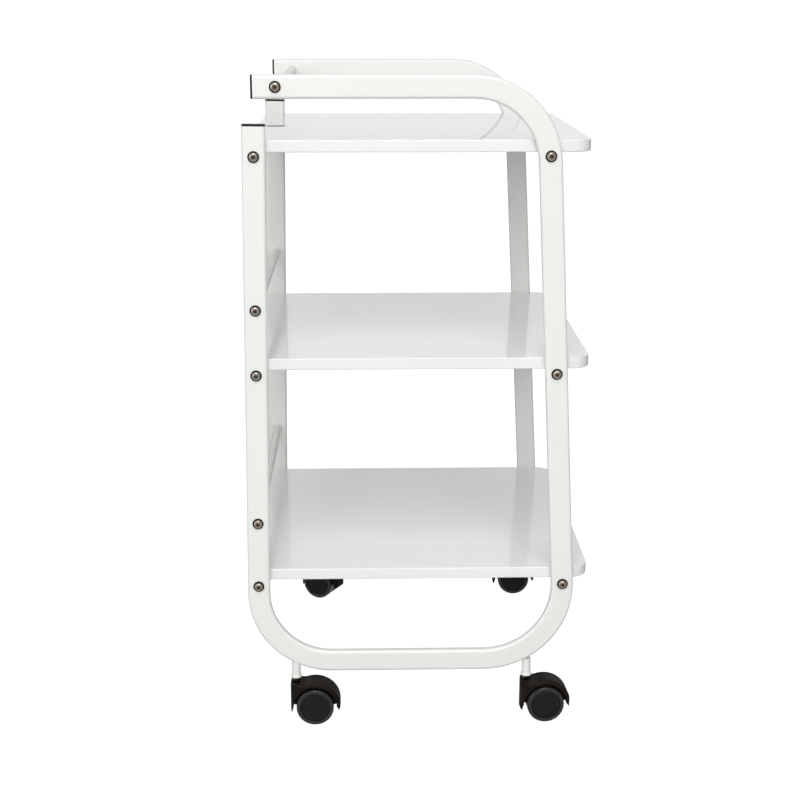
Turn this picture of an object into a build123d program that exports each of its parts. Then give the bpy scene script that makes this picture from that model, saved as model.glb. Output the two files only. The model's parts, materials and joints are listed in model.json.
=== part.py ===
from build123d import *
from math import acos, cos, degrees, hypot, radians, sin, sqrt
import os

# Rolling trolley: two bent side frames, three boards, nine cross bars and
# four twin-wheel casters.  +X is the front, +Z is up, the origin is on the
# floor under the middle of the bounding box.  All sizes are millimetres.

ON_BASE = (Align.CENTER, Align.CENTER, Align.MIN)

# Side frame tube
TUBE_DEPTH = 12.2
TUBE_WIDTH = 29.0
TUBE_WALL = 1.5
TUBE_CORNER = 4.0
FRAME_GAP = 435.0
REAR_BEND = 96.0
FRONT_BEND = 104.0
TOP_BEND = 95.5

# Post centre lines: x at the reference height, and how far x moves per mm up
POST_REF_Z = 496.0
REAR_POST_X = -207.4
REAR_POST_LEAN = 0.0128
FRONT_POST_X = 174.2
FRONT_POST_LEAN = -0.0529

# Heights
BOTTOM_RAIL_Z = 87.5
HANDLE_Z = 842.0
REAR_POST_TOP = 797.5
HANDLE_END_X = -205.8
CAP_RIM = 2.5

# Boards: name, top height, rear edge, front edge
BOARDS = {
    "bottom_shelf": (215.2, -222.5, 225.6),
    "middle_shelf": (501.8, -219.0, 219.7),
    "top_shelf": (777.2, -215.5, 213.9),
}
BOARD_THICK = 15.0
BOARD_WIDTH = 434.0
BOARD_CORNER = 24.0
BOARD_EDGE = 1.5

# Cross bars
BAR_RADIUS = 6.0
BAR_WALL = 1.5
BAR_DROP = 4.0
GROOVE_GAP = 0.1
GUARD_RISE = {"bottom_guard_bar": 283.9, "middle_guard_bar": 566.9}
PUSH_BAR_X = -176.0

# Frame screws, washers and the threaded inserts in the bar ends
SCREW_HEAD = 5.3
SCREW_HEAD_RISE = 3.2
SCREW_SHANK = 3.0
SCREW_LENGTH = 27.0
SCREW_SOCKET = 4.0
SCREW_HOLE = 3.3
WASHER_RADIUS = 7.2
WASHER_THICK = 1.4
INSERT_LENGTH = 16.0

# Casters
STEM_X = (-164.3, 145.4)
WHEEL_RADIUS = 25.0
WHEEL_INNER_Y = 3.6
WHEEL_OUTER_Y = 17.8
TRAIL = 25.0
HOOD_HALF_WIDTH = 16.4
HOOD_INNER = 29.0
HOOD_OUTER = 34.3
HOOD_NOSE = -33.0
HOOD_TOP_FLAT = 32.3
HOOD_EDGE = 4.0
SEAT_DEPTH = 2.0
HOOD_NOSE_ROUND = 13.0
HOOD_TAIL_ROUND = 10.0
WEB_HALF = 3.0
AXLE_RADIUS = 3.0
AXLE_HALF = 14.0
PIN_RADIUS = 4.0
RUNNING_GAP = 0.05
SOCKET_RADIUS = 5.8
SOCKET_BORE = 4.7
SOCKET_BOTTOM = 64.0
PIN_TOP = 79.0
PIN_BOTTOM = 44.0
CASTERS = {
    "rear_right": (STEM_X[0], -1, 0.0),
    "front_right": (STEM_X[1], -1, 4.0),
    "rear_left": (STEM_X[0], 1, -28.0),
    "front_left": (STEM_X[1], 1, 0.0),
}

INNER_Y = FRAME_GAP / 2
FRAME_Y = INNER_Y + TUBE_DEPTH / 2
OUTER_Y = INNER_Y + TUBE_DEPTH


def rear_x(z):
    return REAR_POST_X + REAR_POST_LEAN * (z - POST_REF_Z)


def front_x(z):
    return FRONT_POST_X + FRONT_POST_LEAN * (z - POST_REF_Z)


def corner(before, at, after, radius):
    """Tangent points and middle of a bend of the given centre-line radius."""
    ax, az = before[0] - at[0], before[1] - at[1]
    bx, bz = after[0] - at[0], after[1] - at[1]
    la, lb = hypot(ax, az), hypot(bx, bz)
    ax, az, bx, bz = ax / la, az / la, bx / lb, bz / lb
    half_cos = sqrt((1 + ax * bx + az * bz) / 2)
    half_sin = sqrt(1 - half_cos * half_cos)
    reach = radius * half_cos / half_sin
    sx, sz = ax + bx, az + bz
    ls = hypot(sx, sz)
    inset = radius / half_sin - radius
    start = (at[0] + ax * reach, at[1] + az * reach)
    middle = (at[0] + sx / ls * inset, at[1] + sz / ls * inset)
    end = (at[0] + bx * reach, at[1] + bz * reach)
    return start, middle, end


def frame_path(y):
    """Centre line of one side frame, from the rear post top to the handle end."""
    top = (rear_x(REAR_POST_TOP - CAP_RIM), REAR_POST_TOP - CAP_RIM)
    rear = (rear_x(BOTTOM_RAIL_Z), BOTTOM_RAIL_Z)
    front = (front_x(BOTTOM_RAIL_Z), BOTTOM_RAIL_Z)
    upper = (front_x(HANDLE_Z), HANDLE_Z)
    end = (HANDLE_END_X + CAP_RIM, HANDLE_Z)
    stops = [top, rear, front, upper, end]
    radii = [REAR_BEND, FRONT_BEND, TOP_BEND]
    edges = []
    here = top
    for i, radius in enumerate(radii):
        start, middle, finish = corner(stops[i], stops[i + 1], stops[i + 2], radius)
        edges.append(Line((here[0], y, here[1]), (start[0], y, start[1])))
        edges.append(
            ThreePointArc(
                (start[0], y, start[1]),
                (middle[0], y, middle[1]),
                (finish[0], y, finish[1]),
            )
        )
        here = finish
    edges.append(Line((here[0], y, here[1]), (end[0], y, end[1])))
    return Wire([edge.edge() for edge in edges])


def tube(path, inset):
    """Solid swept along the path with the tube section shrunk by inset."""
    plane = Plane(path @ 0, x_dir=(0, 1, 0), z_dir=path % 0)
    section = plane * RectangleRounded(
        TUBE_DEPTH - 2 * inset, TUBE_WIDTH - 2 * inset, TUBE_CORNER - inset
    )
    return sweep(section, path=path)


def rod(radius, y0, y1, x, z):
    """Round bar along Y."""
    plane = Plane((x, y0, z), x_dir=(1, 0, 0), z_dir=(0, 1, 0))
    return plane * Cylinder(radius, y1 - y0, align=ON_BASE)


def post(radius, z0, z1, x=0.0, y=0.0):
    """Round bar along Z."""
    return Pos(x, y, z0) * Cylinder(radius, z1 - z0, align=ON_BASE)


def bar_places():
    """Name and (x, z) of every cross bar."""
    places = {}
    for name, (top, _, _) in BOARDS.items():
        z = top - BOARD_THICK - BAR_DROP
        places[name + "_rear_bar"] = (rear_x(z), z)
        places[name + "_front_bar"] = (front_x(z), z)
    for name, z in GUARD_RISE.items():
        places[name] = (rear_x(z), z)
    places["push_bar"] = (PUSH_BAR_X, HANDLE_Z)
    return places


def side_frame(side):
    path = frame_path(side * FRAME_Y)
    body = tube(path, 0) - tube(path, TUBE_WALL)
    y0, y1 = sorted((side * (INNER_Y - 2), side * (OUTER_Y + 2)))
    for x, z in bar_places().values():
        body -= rod(SCREW_HOLE, y0, y1, x, z)
    return body


def cross_bar(x, z):
    outer = rod(BAR_RADIUS, -INNER_Y, INNER_Y, x, z)
    return outer - rod(BAR_RADIUS - BAR_WALL, -INNER_Y, INNER_Y, x, z)


def board(top, rear, front):
    z0 = top - BOARD_THICK
    outline = Pos((rear + front) / 2, 0, z0) * RectangleRounded(
        front - rear, BOARD_WIDTH, BOARD_CORNER
    )
    panel = extrude(outline, BOARD_THICK)
    rims = panel.faces().filter_by(Axis.Z).edges()
    panel = fillet(rims, BOARD_EDGE)
    z = z0 - BAR_DROP
    for x in (rear_x(z), front_x(z)):
        panel -= rod(BAR_RADIUS + GROOVE_GAP, -INNER_Y, INNER_Y, x, z)
        for y in (-130, 130):
            panel -= post(1.5, z0 - 2, z0 + 10, x, y)
    return panel


def shelf_screws():
    """Wood screws that go up through the shelf bars into the boards."""
    solids = []
    for top, _, _ in BOARDS.values():
        z = top - BOARD_THICK - BAR_DROP
        for x in (rear_x(z), front_x(z)):
            for y in (-130, 130):
                shank = post(1.5, z - BAR_RADIUS - 1, top - 6, x, y)
                head = post(3.5, z - BAR_RADIUS - 2.2, z - BAR_RADIUS - 0.2, x, y)
                solids.append(shank + head)
    return solids


def drill_for_screws(bar, x, z):
    for y in (-130, 130):
        bar -= post(1.55, z - 10, z + 10, x, y)
    return bar


def post_cap(side):
    """Plug with a rim in the open top of the rear post."""
    z = REAR_POST_TOP - CAP_RIM
    lean = Plane(
        (rear_x(z), side * FRAME_Y, z),
        x_dir=(0, 1, 0),
        z_dir=(REAR_POST_LEAN, 0, 1),
    )
    return lean * cap_solid()


def handle_cap(side):
    """Plug with a rim in the open rear end of the handle."""
    x = HANDLE_END_X + CAP_RIM
    plane = Plane((x, side * FRAME_Y, HANDLE_Z), x_dir=(0, 1, 0), z_dir=(-1, 0, 0))
    return plane * cap_solid()


def cap_solid():
    rim = extrude(RectangleRounded(TUBE_DEPTH, TUBE_WIDTH, TUBE_CORNER), CAP_RIM)
    top = rim.faces().sort_by(Axis.Z)[-1]
    rim = fillet(top.edges(), 0.8)
    inset = TUBE_WALL + 0.02
    plug = RectangleRounded(
        TUBE_DEPTH - 2 * inset, TUBE_WIDTH - 2 * inset, TUBE_CORNER - inset
    )
    return rim + extrude(plug, -14)


def frame_screw(side, x, z):
    """Button-head screw with a hex socket, its head outside the frame."""
    plane = Plane((x, side * (OUTER_Y + WASHER_THICK), z), x_dir=(1, 0, 0), z_dir=(0, side, 0))
    head = Cylinder(SCREW_HEAD, SCREW_HEAD_RISE, align=ON_BASE)
    rim = head.faces().sort_by(Axis.Z)[-1].edges()
    head = fillet(rim, SCREW_HEAD_RISE - 0.6)
    socket = extrude(RegularPolygon(SCREW_SOCKET / 2 / cos(radians(30)), 6), 2.2)
    head -= Pos(0, 0, SCREW_HEAD_RISE - 2.0) * socket
    shank = Cylinder(
        SCREW_SHANK, SCREW_LENGTH, align=(Align.CENTER, Align.CENTER, Align.MAX)
    )
    return plane * (head + shank)


def washer(side, x, z):
    plane = Plane((x, side * OUTER_Y, z), x_dir=(1, 0, 0), z_dir=(0, side, 0))
    disc = Cylinder(WASHER_RADIUS, WASHER_THICK, align=ON_BASE)
    disc = fillet(disc.faces().sort_by(Axis.Z)[-1].edges(), 0.6)
    bore = Cylinder(SCREW_SHANK + 0.1, 6)
    return plane * (disc - bore)


def bar_insert(side, x, z):
    """Threaded plug pressed into one end of a cross bar."""
    y0, y1 = sorted((side * INNER_Y, side * (INNER_Y - INSERT_LENGTH)))
    outer = rod(BAR_RADIUS - BAR_WALL - 0.01, y0, y1, x, z)
    return outer - rod(SCREW_SHANK + 0.02, y0, y1, x, z)


def caster_place(x, side, turn):
    return Pos(x, side * FRAME_Y, 0) * Rot(0, 0, turn)


def socket(x, side):
    """Short tube coped to the underside of the bend, flanged at the bottom."""
    y = side * FRAME_Y
    body = post(SOCKET_RADIUS, SOCKET_BOTTOM, BOTTOM_RAIL_Z, x, y)
    body += post(SOCKET_RADIUS + 1.6, SOCKET_BOTTOM, SOCKET_BOTTOM + 2.0, x, y)
    body -= post(SOCKET_BORE, 0, PIN_TOP + 0.5, x, y)
    return body - tube(frame_path(y), 0)


def socket_bush(x, side):
    y = side * FRAME_Y
    body = post(SOCKET_BORE - 0.02, SOCKET_BOTTOM, PIN_TOP, x, y)
    return body - post(PIN_RADIUS - 0.23, 0, 200, x, y)


def stem():
    """Steel stem: upper pin in the bush, conical collar, lower pin in the hood."""
    upper = post(PIN_RADIUS - 0.25, SOCKET_BOTTOM - 1, PIN_TOP)
    low = WHEEL_RADIUS + HOOD_TOP_FLAT - 0.3
    high = SOCKET_BOTTOM - 0.1
    collar = Cone(PIN_RADIUS, 5.4, high - low, align=ON_BASE)
    collar = Pos(0, 0, low) * collar
    lower = post(PIN_RADIUS, PIN_BOTTOM, SOCKET_BOTTOM - 1)
    return upper + collar + lower


def polar(radius, angle):
    return (radius * cos(radians(angle)), radius * sin(radians(angle)))


def hood_profile():
    """Side outline of the hood, relative to the wheel centre."""

    def at(x, z):
        return (x, 0, z)

    def on(radius, angle):
        x, z = polar(radius, angle)
        return at(x, z)

    flat = HOOD_TOP_FLAT
    meet = degrees(acos(-sqrt(HOOD_OUTER**2 - flat**2) / HOOD_OUTER))
    nose = HOOD_NOSE
    edges = [
        Line(at(nose + 1.9, -9.6), at(nose + 0.5, -9.6)),
        Line(at(nose + 0.5, -9.6), at(nose, -6)),
        Line(at(nose, -6), at(nose, flat - 3)),
        ThreePointArc(at(nose, flat - 3), at(nose + 0.88, flat - 0.88), at(nose + 3, flat)),
        Line(at(nose + 3, flat), on(HOOD_OUTER, meet)),
        ThreePointArc(on(HOOD_OUTER, meet), on(HOOD_OUTER, 60), on(HOOD_OUTER, 8)),
        Line(on(HOOD_OUTER, 8), at(34.0, -1)),
        Line(at(34.0, -1), at(33.0, -5)),
        Line(at(33.0, -5), at(31.6, -5)),
        Line(at(31.6, -5), at(29.6, -0.6)),
        Line(at(29.6, -0.6), at(23, -3)),
        Line(at(23, -3), at(10, -9)),
        Line(at(10, -9), at(-10, -9)),
        Line(at(-10, -9), at(-23, -3)),
        Line(at(-23, -3), at(nose + 3.7, -1.2)),
        Line(at(nose + 3.7, -1.2), at(nose + 1.9, -9.6)),
    ]
    return make_face(Wire([edge.edge() for edge in edges]))


def is_crest(edge):
    """True for the upper edges along both flanks of the hood."""
    middle = edge.center()
    return abs(abs(middle.Y) - HOOD_HALF_WIDTH) < 0.01 and middle.Z > 0


def hood():
    """Twin-wheel fork with its cover, in caster coordinates: stem on Z."""
    wheel = (TRAIL, WHEEL_RADIUS)
    side = extrude(hood_profile(), HOOD_HALF_WIDTH, dir=(0, 1, 0), both=True)
    rims = [edge for edge in side.edges() if is_crest(edge)]
    side = fillet(rims, HOOD_EDGE)
    plan = Pos((HOOD_NOSE + HOOD_OUTER) / 2, 0, -20) * Rectangle(
        HOOD_OUTER - HOOD_NOSE, 2 * HOOD_HALF_WIDTH
    )
    ends = plan.vertices().sort_by(Axis.X)
    plan = fillet(ends[:2], HOOD_NOSE_ROUND)
    plan = fillet(plan.vertices().sort_by(Axis.X)[-2:], HOOD_TAIL_ROUND)
    body = side & extrude(plan, 60)
    for end in (-1, 1):
        y0, y1 = sorted((end * WEB_HALF, end * 20))
        body -= rod(HOOD_INNER, y0, y1, 0, 0)
    body = Pos(wheel[0], 0, wheel[1]) * body
    body -= rod(AXLE_RADIUS, -20, 20, *wheel)
    body -= post(PIN_RADIUS + RUNNING_GAP, PIN_BOTTOM - 1, 80)
    seat = Cone(PIN_RADIUS + 0.3, 7.3, SEAT_DEPTH, align=ON_BASE)
    body -= Pos(0, 0, WHEEL_RADIUS + HOOD_TOP_FLAT - SEAT_DEPTH) * seat
    return body


def axle():
    return rod(AXLE_RADIUS, -AXLE_HALF, AXLE_HALF, TRAIL, WHEEL_RADIUS)


def wheel(end):
    """Moulded wheel, revolved about Y; end is +1 or -1 along the axle."""
    profile = [
        (0, 14.6),
        (0, WHEEL_OUTER_Y - 1.6),
        (18.2, WHEEL_OUTER_Y - 1.6),
        (18.8, WHEEL_OUTER_Y - 0.6),
        (20.2, WHEEL_OUTER_Y),
        (22.6, WHEEL_OUTER_Y - 0.4),
        (24.2, WHEEL_OUTER_Y - 1.8),
        (WHEEL_RADIUS, WHEEL_OUTER_Y - 3.8),
        (WHEEL_RADIUS, WHEEL_INNER_Y + 1.4),
        (WHEEL_RADIUS - 1.0, WHEEL_INNER_Y + 0.2),
        (WHEEL_RADIUS - 4.0, WHEEL_INNER_Y + 0.2),
        (WHEEL_RADIUS - 4.4, 12.0),
        (7.0, 12.6),
        (6.4, WHEEL_INNER_Y),
        (AXLE_RADIUS + RUNNING_GAP, WHEEL_INNER_Y),
        (AXLE_RADIUS + RUNNING_GAP, 14.6),
    ]
    section = make_face(Polyline([(x, y, 0) for x, y in profile], close=True))
    solid = revolve(section, Axis.Y)
    if end < 0:
        solid = mirror(solid, Plane.XZ)
    return Pos(TRAIL, 0, WHEEL_RADIUS) * solid


def save(name, shape):
    if isinstance(shape, list):
        shape = Compound(children=[Solid(s.solid().wrapped) for s in shape])
    shape.label = name
    export_step(shape, "parts/" + name + ".step")


def main():
    os.makedirs("parts", exist_ok=True)
    bars = bar_places()
    shelf_bars = [name for name in bars if "shelf" in name]
    for name, (x, z) in bars.items():
        bar = cross_bar(x, z)
        if name in shelf_bars:
            bar = drill_for_screws(bar, x, z)
        save(name, bar)
    for name, sizes in BOARDS.items():
        save(name, board(*sizes))
    save("shelf_screws", shelf_screws())
    for label, side in (("right", -1), ("left", 1)):
        save(label + "_side_frame", side_frame(side))
        save(label + "_post_cap", post_cap(side))
        save(label + "_handle_cap", handle_cap(side))
        places = bars.values()
        save(label + "_frame_screws", [frame_screw(side, x, z) for x, z in places])
        save(label + "_screw_washers", [washer(side, x, z) for x, z in places])
        save(label + "_bar_inserts", [bar_insert(side, x, z) for x, z in places])
    for name, (x, side, turn) in CASTERS.items():
        place = caster_place(x, side, turn)
        save(name + "_socket", socket(x, side))
        save(name + "_socket_bush", socket_bush(x, side))
        save(name + "_stem", place * stem())
        save(name + "_hood", place * hood())
        save(name + "_axle", place * axle())
        save(name + "_inner_wheel", place * wheel(-side))
        save(name + "_outer_wheel", place * wheel(side))


main()
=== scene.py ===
import json
from math import cos, pi, radians, sin

import bmesh
import bpy
from mathutils import Matrix, Vector


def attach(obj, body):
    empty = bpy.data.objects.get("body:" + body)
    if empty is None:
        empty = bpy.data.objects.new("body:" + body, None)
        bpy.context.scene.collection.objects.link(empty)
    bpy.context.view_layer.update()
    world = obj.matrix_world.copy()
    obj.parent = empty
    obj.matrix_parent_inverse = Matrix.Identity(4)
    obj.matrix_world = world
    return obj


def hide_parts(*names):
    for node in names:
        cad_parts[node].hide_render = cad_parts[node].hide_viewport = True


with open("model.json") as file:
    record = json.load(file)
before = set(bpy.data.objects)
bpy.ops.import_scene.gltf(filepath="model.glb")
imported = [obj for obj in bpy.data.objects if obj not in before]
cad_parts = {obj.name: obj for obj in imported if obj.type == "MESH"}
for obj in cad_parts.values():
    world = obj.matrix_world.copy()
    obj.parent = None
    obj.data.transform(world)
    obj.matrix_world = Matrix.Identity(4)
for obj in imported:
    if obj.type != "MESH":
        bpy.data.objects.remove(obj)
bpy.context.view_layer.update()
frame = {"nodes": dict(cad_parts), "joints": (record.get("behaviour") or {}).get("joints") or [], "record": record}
SLOT_OF_NODE = {
    entry["node"]: entry["material_slot"] for entry in frame["record"]["subparts"]
}
JOINTS = {joint["name"]: joint for joint in frame["joints"]}
CORNERS = ("rear_right", "front_right", "rear_left", "front_left")


# ---------------------------------------------------------------- materials

class Paint:
    """One Principled material, whose colour, roughness and bump come from noise."""

    SOCKETS = {
        "metallic": "Metallic",
        "roughness": "Roughness",
        "shine": "Specular IOR Level",
        "coat": "Coat Weight",
        "coat_roughness": "Coat Roughness",
    }

    def __init__(self, name, **sockets):
        self.material = bpy.data.materials.new(name)
        self.material.use_nodes = True
        self.nodes = self.material.node_tree.nodes
        self.links = self.material.node_tree.links
        self.shader = self.nodes["Principled BSDF"]
        for key, value in sockets.items():
            self.shader.inputs[self.SOCKETS[key]].default_value = value
        self.coords = self.nodes.new("ShaderNodeTexCoord").outputs["Object"]

    def noise(self, scale, detail=2.0, rough=0.5):
        """Noise with about this many features to the metre."""
        node = self.nodes.new("ShaderNodeTexNoise")
        node.inputs["Scale"].default_value = scale
        node.inputs["Detail"].default_value = detail
        node.inputs["Roughness"].default_value = rough
        self.links.new(self.coords, node.inputs["Vector"])
        return node.outputs["Fac"]

    def ramp(self, fac, low, high, start=0.3, end=0.7):
        node = self.nodes.new("ShaderNodeValToRGB")
        node.color_ramp.elements[0].position = start
        node.color_ramp.elements[1].position = end
        node.color_ramp.elements[0].color = low
        node.color_ramp.elements[1].color = high
        self.links.new(fac, node.inputs["Fac"])
        return node.outputs["Color"]

    def color(self, fac, low, high):
        ramp = self.ramp(fac, (*low, 1), (*high, 1))
        self.links.new(ramp, self.shader.inputs["Base Color"])

    def roughness(self, fac, low, high):
        ramp = self.ramp(fac, (low, low, low, 1), (high, high, high, 1))
        self.links.new(ramp, self.shader.inputs["Roughness"])

    def bump(self, fac, strength, distance):
        node = self.nodes.new("ShaderNodeBump")
        node.inputs["Strength"].default_value = strength
        node.inputs["Distance"].default_value = distance
        self.links.new(fac, node.inputs["Height"])
        self.links.new(node.outputs["Normal"], self.shader.inputs["Normal"])

    def paint_recess_shade(self, reach, dark, deep=0.45, clear=0.85):
        """Painted shade: darken the colour in recesses narrower than reach, in metres, such as a screw's socket,
        where shade falls.
        """
        hollow = self.nodes.new("ShaderNodeAmbientOcclusion")
        hollow.inputs["Distance"].default_value = reach
        shade = self.ramp(hollow.outputs["AO"], (*dark, 1), (1, 1, 1, 1), deep, clear)
        mix = self.nodes.new("ShaderNodeMix")
        mix.data_type, mix.blend_type = "RGBA", "MULTIPLY"
        mix.inputs["Factor"].default_value = 1.0
        first, second, result = mix.inputs[6], mix.inputs[7], mix.outputs[2]
        base = self.shader.inputs["Base Color"]
        self.links.new(base.links[0].from_socket, first)
        self.links.new(shade, second)
        self.links.new(result, base)


def powder_coat():
    """Nearly even off-white with the faint orange peel of baked powder."""
    paint = Paint("powder_coat_white", shine=0.35, coat=0.25, coat_roughness=0.09)
    paint.color(paint.noise(9.0, 3.0), (0.818, 0.830, 0.808), (0.832, 0.843, 0.822))
    paint.roughness(paint.noise(60.0, 2.0), 0.30, 0.36)
    paint.bump(paint.noise(260.0, 2.0), 0.012, 0.0004)
    return paint.material


def lacquer():
    """Smooth clear-coated white, which mirrors the posts that stand on it."""
    paint = Paint("lacquer_white", shine=0.3, coat=0.85, coat_roughness=0.02)
    paint.color(paint.noise(5.0, 2.0), (0.850, 0.850, 0.855), (0.872, 0.872, 0.876))
    paint.roughness(paint.noise(18.0, 1.0), 0.18, 0.195)
    paint.bump(paint.noise(6.0, 1.0), 0.001, 0.0002)
    return paint.material


def black_plastic(name, low, high, roughness, shine=0.2, grain=900.0, coat=0.0):
    """Moulded black plastic with a fine grain of this many features to the metre."""
    paint = Paint(name, shine=shine, coat=coat, coat_roughness=0.03)
    paint.color(paint.noise(70.0, 3.0), low, high)
    paint.roughness(paint.noise(160.0, 3.0), *roughness)
    paint.bump(paint.noise(grain, 3.0, 0.6), 0.18, 0.0003)
    return paint.material


# Painted shade in the steel's recesses: how far it reaches, in metres, and its darkest colour
SOCKET_REACH = 0.003
SOCKET_PAINTED_SHADE = (0.10, 0.07, 0.05)


def steel(name, low, high):
    """Plated steel, with painted shade that darkens its recesses, such as a screw's socket."""
    paint = Paint(name, metallic=1.0)
    paint.color(paint.noise(260.0, 3.0), low, high)
    # Painted shade, darkest deep in a socket
    paint.paint_recess_shade(SOCKET_REACH, SOCKET_PAINTED_SHADE)
    paint.roughness(paint.noise(500.0, 3.0), 0.24, 0.38)
    paint.bump(paint.noise(1500.0, 2.0), 0.08, 0.0001)
    return paint.material


def natural_nylon():
    paint = Paint("natural_nylon", roughness=0.5)
    paint.color(paint.noise(90.0), (0.50, 0.48, 0.42), (0.58, 0.56, 0.50))
    paint.bump(paint.noise(700.0), 0.1, 0.0002)
    return paint.material


MATERIALS = {
    "frame_white": powder_coat(),
    "board_white": lacquer(),
    "cap_black": black_plastic(
        "cap_plastic", (0.016, 0.011, 0.009), (0.024, 0.018, 0.015), (0.35, 0.5)
    ),
    "washer_black": black_plastic(
        "washer_nylon", (0.014, 0.011, 0.009), (0.022, 0.017, 0.014), (0.4, 0.55)
    ),
    "hood_black": black_plastic(
        "hood_nylon", (0.008, 0.006, 0.005), (0.016, 0.011, 0.009), (0.42, 0.55), shine=0.11
    ),
    "wheel_black": black_plastic(
        "wheel_nylon", (0.011, 0.010, 0.011), (0.016, 0.015, 0.016), (0.34, 0.46)
    ),
    "screw_steel": steel("nickel_steel", (0.58, 0.51, 0.43), (0.74, 0.67, 0.58)),
    "zinc_steel": steel("yellow_zinc", (0.52, 0.44, 0.28), (0.66, 0.58, 0.40)),
    "bush_nylon": natural_nylon(),
}

# The wheels' rims are a smoother, shinier plastic than their discs
RIM_PLASTIC = black_plastic(
    "wheel_rim_nylon",
    (0.016, 0.015, 0.016),
    (0.027, 0.026, 0.027),
    (0.24, 0.32),
    shine=0.4,
    grain=500.0,
    coat=0.8,
)


def dress(obj, material):
    obj.data.materials.clear()
    obj.data.materials.append(material)


for node, slot in SLOT_OF_NODE.items():
    dress(frame["nodes"][node], MATERIALS[slot])


# ----------------------------------------------------------- mesh building

def add_mesh(name, verts, faces, sharp=35.0):
    """New object from vertex and face lists, smooth except at sharp edges."""
    mesh = bpy.data.meshes.new(name)
    mesh.from_pydata([tuple(v) for v in verts], [], faces)
    work = bmesh.new()
    work.from_mesh(mesh)
    bmesh.ops.remove_doubles(work, verts=work.verts, dist=1e-7)
    bmesh.ops.recalc_face_normals(work, faces=work.faces)
    for face in work.faces:
        face.smooth = True
    for edge in work.edges:
        if len(edge.link_faces) == 2:
            edge.smooth = edge.calc_face_angle(0.0) < radians(sharp)
    work.to_mesh(mesh)
    work.free()
    piece = bpy.data.objects.new(name, mesh)
    bpy.context.collection.objects.link(piece)
    return piece


def lathe(name, profile, place, segments):
    """Revolve (radius, height) points, in metres, about the local Z of place."""
    verts, faces = [], []
    for i in range(segments):
        turn = 2 * pi * i / segments
        for r, h in profile:
            verts.append(place @ Vector((r * cos(turn), r * sin(turn), h)))
    n = len(profile)
    for i in range(segments):
        j = (i + 1) % segments
        for k in range(n - 1):
            faces.append((i * n + k, j * n + k, j * n + k + 1, i * n + k + 1))
    return add_mesh(name, verts, faces)


# ------------------------------------------------------------------ wheels

MM = 0.001
# Both outlines are of radius and distance from the middle of the caster, in millimetres
RIM_PROFILE = (
    (19.9, 15.0), (20.0, 17.3), (20.8, 17.6), (21.8, 17.75), (22.8, 17.79),
    (23.7, 17.75), (24.4, 17.4), (24.8, 16.75), (25.0, 15.8), (25.0, 11.0),
    (25.0, 6.4), (24.9, 5.1), (24.5, 4.2), (23.7, 3.8), (21.8, 3.75),
    (20.9, 4.0), (20.6, 4.8), (20.6, 12.0), (20.4, 14.2), (19.9, 15.0),
)
DISC_PROFILE = (
    (0.0, 16.05), (5.0, 16.05), (11.0, 16.15), (16.5, 16.35), (18.6, 16.45),
    (19.3, 16.3), (19.65, 15.7), (19.75, 14.6), (19.4, 13.6), (14.0, 13.3),
    (8.0, 13.3), (6.9, 12.9), (6.5, 12.2), (6.4, 4.4), (6.1, 3.75),
    (5.6, 3.6), (3.3, 3.6), (3.05, 3.9), (3.05, 14.4), (0.0, 14.4),
)
RIM_SEGMENTS = 96
DISC_SEGMENTS = 72

# Webs between the hub and the rim, in the hollow back of the wheel, in millimetres
RIBS = 6
RIB_RADII = (6.2, 19.9)
RIB_DEPTHS = (5.4, 13.4)
RIB_HALF_THICKNESS = 0.6


def wheel_place(corner, end):
    """Matrix whose origin is midway between the wheels, with Z outward."""
    inner = Vector(JOINTS[corner + "_inner_spin"]["pos_m"])
    outer = Vector(JOINTS[corner + "_outer_spin"]["pos_m"])
    outward = (outer - inner).normalized() * (1 if end == "outer" else -1)
    up = Vector((0, 0, 1))
    side = up.cross(outward)
    axes = Matrix((side, up, outward)).transposed().to_4x4()
    return Matrix.Translation((inner + outer) / 2) @ axes


def scaled(profile):
    return [(r * MM, h * MM) for r, h in profile]


def rib_mesh(turn):
    """Corners and faces of one thin web, at this angle round the wheel."""
    corners = []
    for radius in RIB_RADII:
        for depth in RIB_DEPTHS:
            for side in (-RIB_HALF_THICKNESS, RIB_HALF_THICKNESS):
                x = radius * cos(turn) - side * sin(turn)
                y = radius * sin(turn) + side * cos(turn)
                corners.append(Vector((x, y, depth)) * MM)
    quads = [
        (0, 1, 3, 2),
        (4, 6, 7, 5),
        (0, 4, 5, 1),
        (2, 3, 7, 6),
        (0, 2, 6, 4),
        (1, 5, 7, 3),
    ]
    return corners, quads


def add_ribs(name, place):
    verts, faces = [], []
    for k in range(RIBS):
        corners, quads = rib_mesh(2 * pi * k / RIBS)
        faces += [tuple(len(verts) + i for i in quad) for quad in quads]
        verts += [place @ at for at in corners]
    return add_mesh(name, verts, faces)


def build_wheel(corner, end):
    """Rim, disc and ribs in place of one CAD wheel, spinning with its body."""
    body = f"{corner}_{end}_wheel_body"
    node = f"{corner}_{end}_wheel"
    place = wheel_place(corner, end)
    rim = lathe(node + "_rim", scaled(RIM_PROFILE), place, RIM_SEGMENTS)
    disc = lathe(node + "_disc", scaled(DISC_PROFILE), place, DISC_SEGMENTS)
    ribs = add_ribs(node + "_ribs", place)
    dress(rim, RIM_PLASTIC)
    for piece in (disc, ribs):
        dress(piece, MATERIALS["wheel_black"])
    for piece in (rim, disc, ribs):
        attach(piece, body)
        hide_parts(node)


for corner in CORNERS:
    for end in ("inner", "outer"):
        build_wheel(corner, end)


# ------------------------------------------------------- camera and lighting

# Place in metres, angles in radians, lens and sensor in millimetres
CAMERA_AT = Vector((-0.06616, -2.05166, 0.94750))
CAMERA_TURN = 0.02255
CAMERA_PITCH = 0.26646
CAMERA_LENS = 66.586
CAMERA_SENSOR = 36.0
CAMERA_CLIP = 0.05


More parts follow.
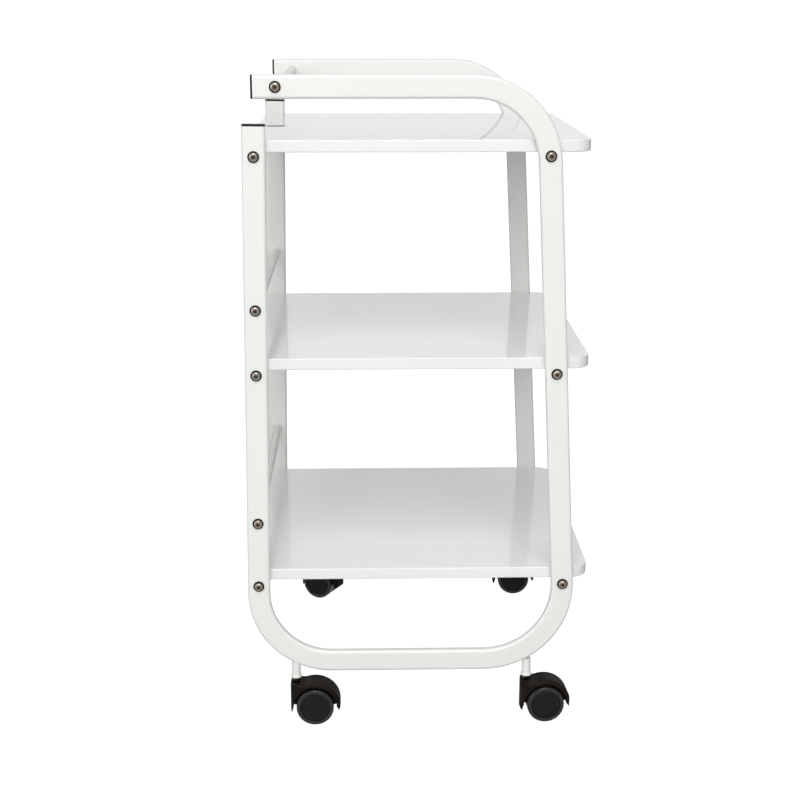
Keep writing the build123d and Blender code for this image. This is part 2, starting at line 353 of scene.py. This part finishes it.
def add_camera():
    """Camera with its horizon level, which looks forward and down."""
    data = bpy.data.cameras.new("camera")
    data.lens = CAMERA_LENS
    data.sensor_width = CAMERA_SENSOR
    data.clip_start = CAMERA_CLIP
    forward = Vector(
        (
            sin(CAMERA_TURN) * cos(CAMERA_PITCH),
            cos(CAMERA_TURN) * cos(CAMERA_PITCH),
            -sin(CAMERA_PITCH),
        )
    )
    right = Vector((cos(CAMERA_TURN), -sin(CAMERA_TURN), 0))
    down = forward.cross(right)
    camera = bpy.data.objects.new("camera", data)
    bpy.context.collection.objects.link(camera)
    axes = Matrix((right, -down, -forward)).transposed()
    camera.matrix_world = Matrix.Translation(CAMERA_AT) @ axes.to_4x4()
    bpy.context.scene.camera = camera


WORLD_COLOR = (1.0, 1.0, 0.97, 1.0)
WORLD_STRENGTH = 0.29
BACKDROP_GLOW = 0.95
BACKDROP_SHADES = (0.30, 0.31)

# Name, place, aim, width, height and watts of each
SOFTBOXES = (
    ("front", (0.0, -3.4, 1.75), (0.0, 0.0, 0.45), 2.8, 1.8, 51.0),
    ("high", (0.0, -2.2, 3.3), (0.0, 0.0, 0.4), 2.8, 1.8, 52.0),
    ("near", (0.0, -1.2, 0.12), (0.0, 0.0, 0.2), 1.4, 0.2, 1.8),
    ("spark", (-0.25, -1.3, 2.4), (0.0, 0.0, 0.2), 0.10, 0.10, 1.6),
    ("left", (-2.4, -1.2, 1.2), (0.0, 0.0, 0.4), 1.4, 1.8, 13.0),
    ("back", (0.0, 2.8, 1.5), (0.0, 0.0, 0.9), 4.5, 1.8, 15.0),
)
# These would show as glare on the boards or the wheels
DIFFUSE_ONLY = ("near", "front")
DOME_RADIUS = 30.0
DOME_STEPS = 64
DOME_RINGS = 12


def add_softbox(name, place, aim, width, height, watts):
    """Rectangular light that the camera doesn't see."""
    data = bpy.data.lights.new("softbox_" + name, "AREA")
    data.shape = "RECTANGLE"
    data.size, data.size_y = width, height
    data.energy = watts
    light = bpy.data.objects.new("softbox_" + name, data)
    light.location = place
    turn = (Vector(aim) - Vector(place)).to_track_quat("-Z", "Y")
    light.rotation_euler = turn.to_euler()
    light.visible_camera = False
    light.visible_glossy = name not in DIFFUSE_ONLY
    bpy.context.collection.objects.link(light)


def add_world():
    """Even light from all round."""
    world = bpy.data.worlds.new("studio")
    world.use_nodes = True
    background = world.node_tree.nodes["Background"]
    background.inputs["Color"].default_value = WORLD_COLOR
    background.inputs["Strength"].default_value = WORLD_STRENGTH
    bpy.context.scene.world = world


def as_backdrop(obj):
    """Pale stage that the camera sees, but that doesn't light the object."""
    paint = Paint(obj.name, roughness=0.9)
    paint.color(paint.noise(3.0), *[(shade, shade, shade) for shade in BACKDROP_SHADES])
    paint.shader.inputs["Emission Color"].default_value = (1, 1, 1, 1)
    paint.shader.inputs["Emission Strength"].default_value = BACKDROP_GLOW
    dress(obj, paint.material)
    obj.visible_diffuse = False
    obj.visible_glossy = False
    obj.visible_shadow = False


def add_stage():
    """Round floor with a dome over it, both far wider than the object."""
    verts, faces = [], []
    for k in range(DOME_RINGS + 1):
        tilt = pi / 2 * k / DOME_RINGS
        for i in range(DOME_STEPS):
            turn = 2 * pi * i / DOME_STEPS
            flat = DOME_RADIUS * cos(tilt)
            verts.append((flat * cos(turn), flat * sin(turn), DOME_RADIUS * sin(tilt)))
    for k in range(DOME_RINGS):
        for i in range(DOME_STEPS):
            j = (i + 1) % DOME_STEPS
            a, b = k * DOME_STEPS, (k + 1) * DOME_STEPS
            faces.append((a + i, a + j, b + j, b + i))
    as_backdrop(add_mesh("studio_dome", verts, faces))
    as_backdrop(add_mesh("studio_floor", verts[:DOME_STEPS], [tuple(range(DOME_STEPS))]))


for box in SOFTBOXES:
    add_softbox(*box)
add_camera()
add_world()
add_stage()
bpy.context.scene.view_settings.view_transform = "Standard"
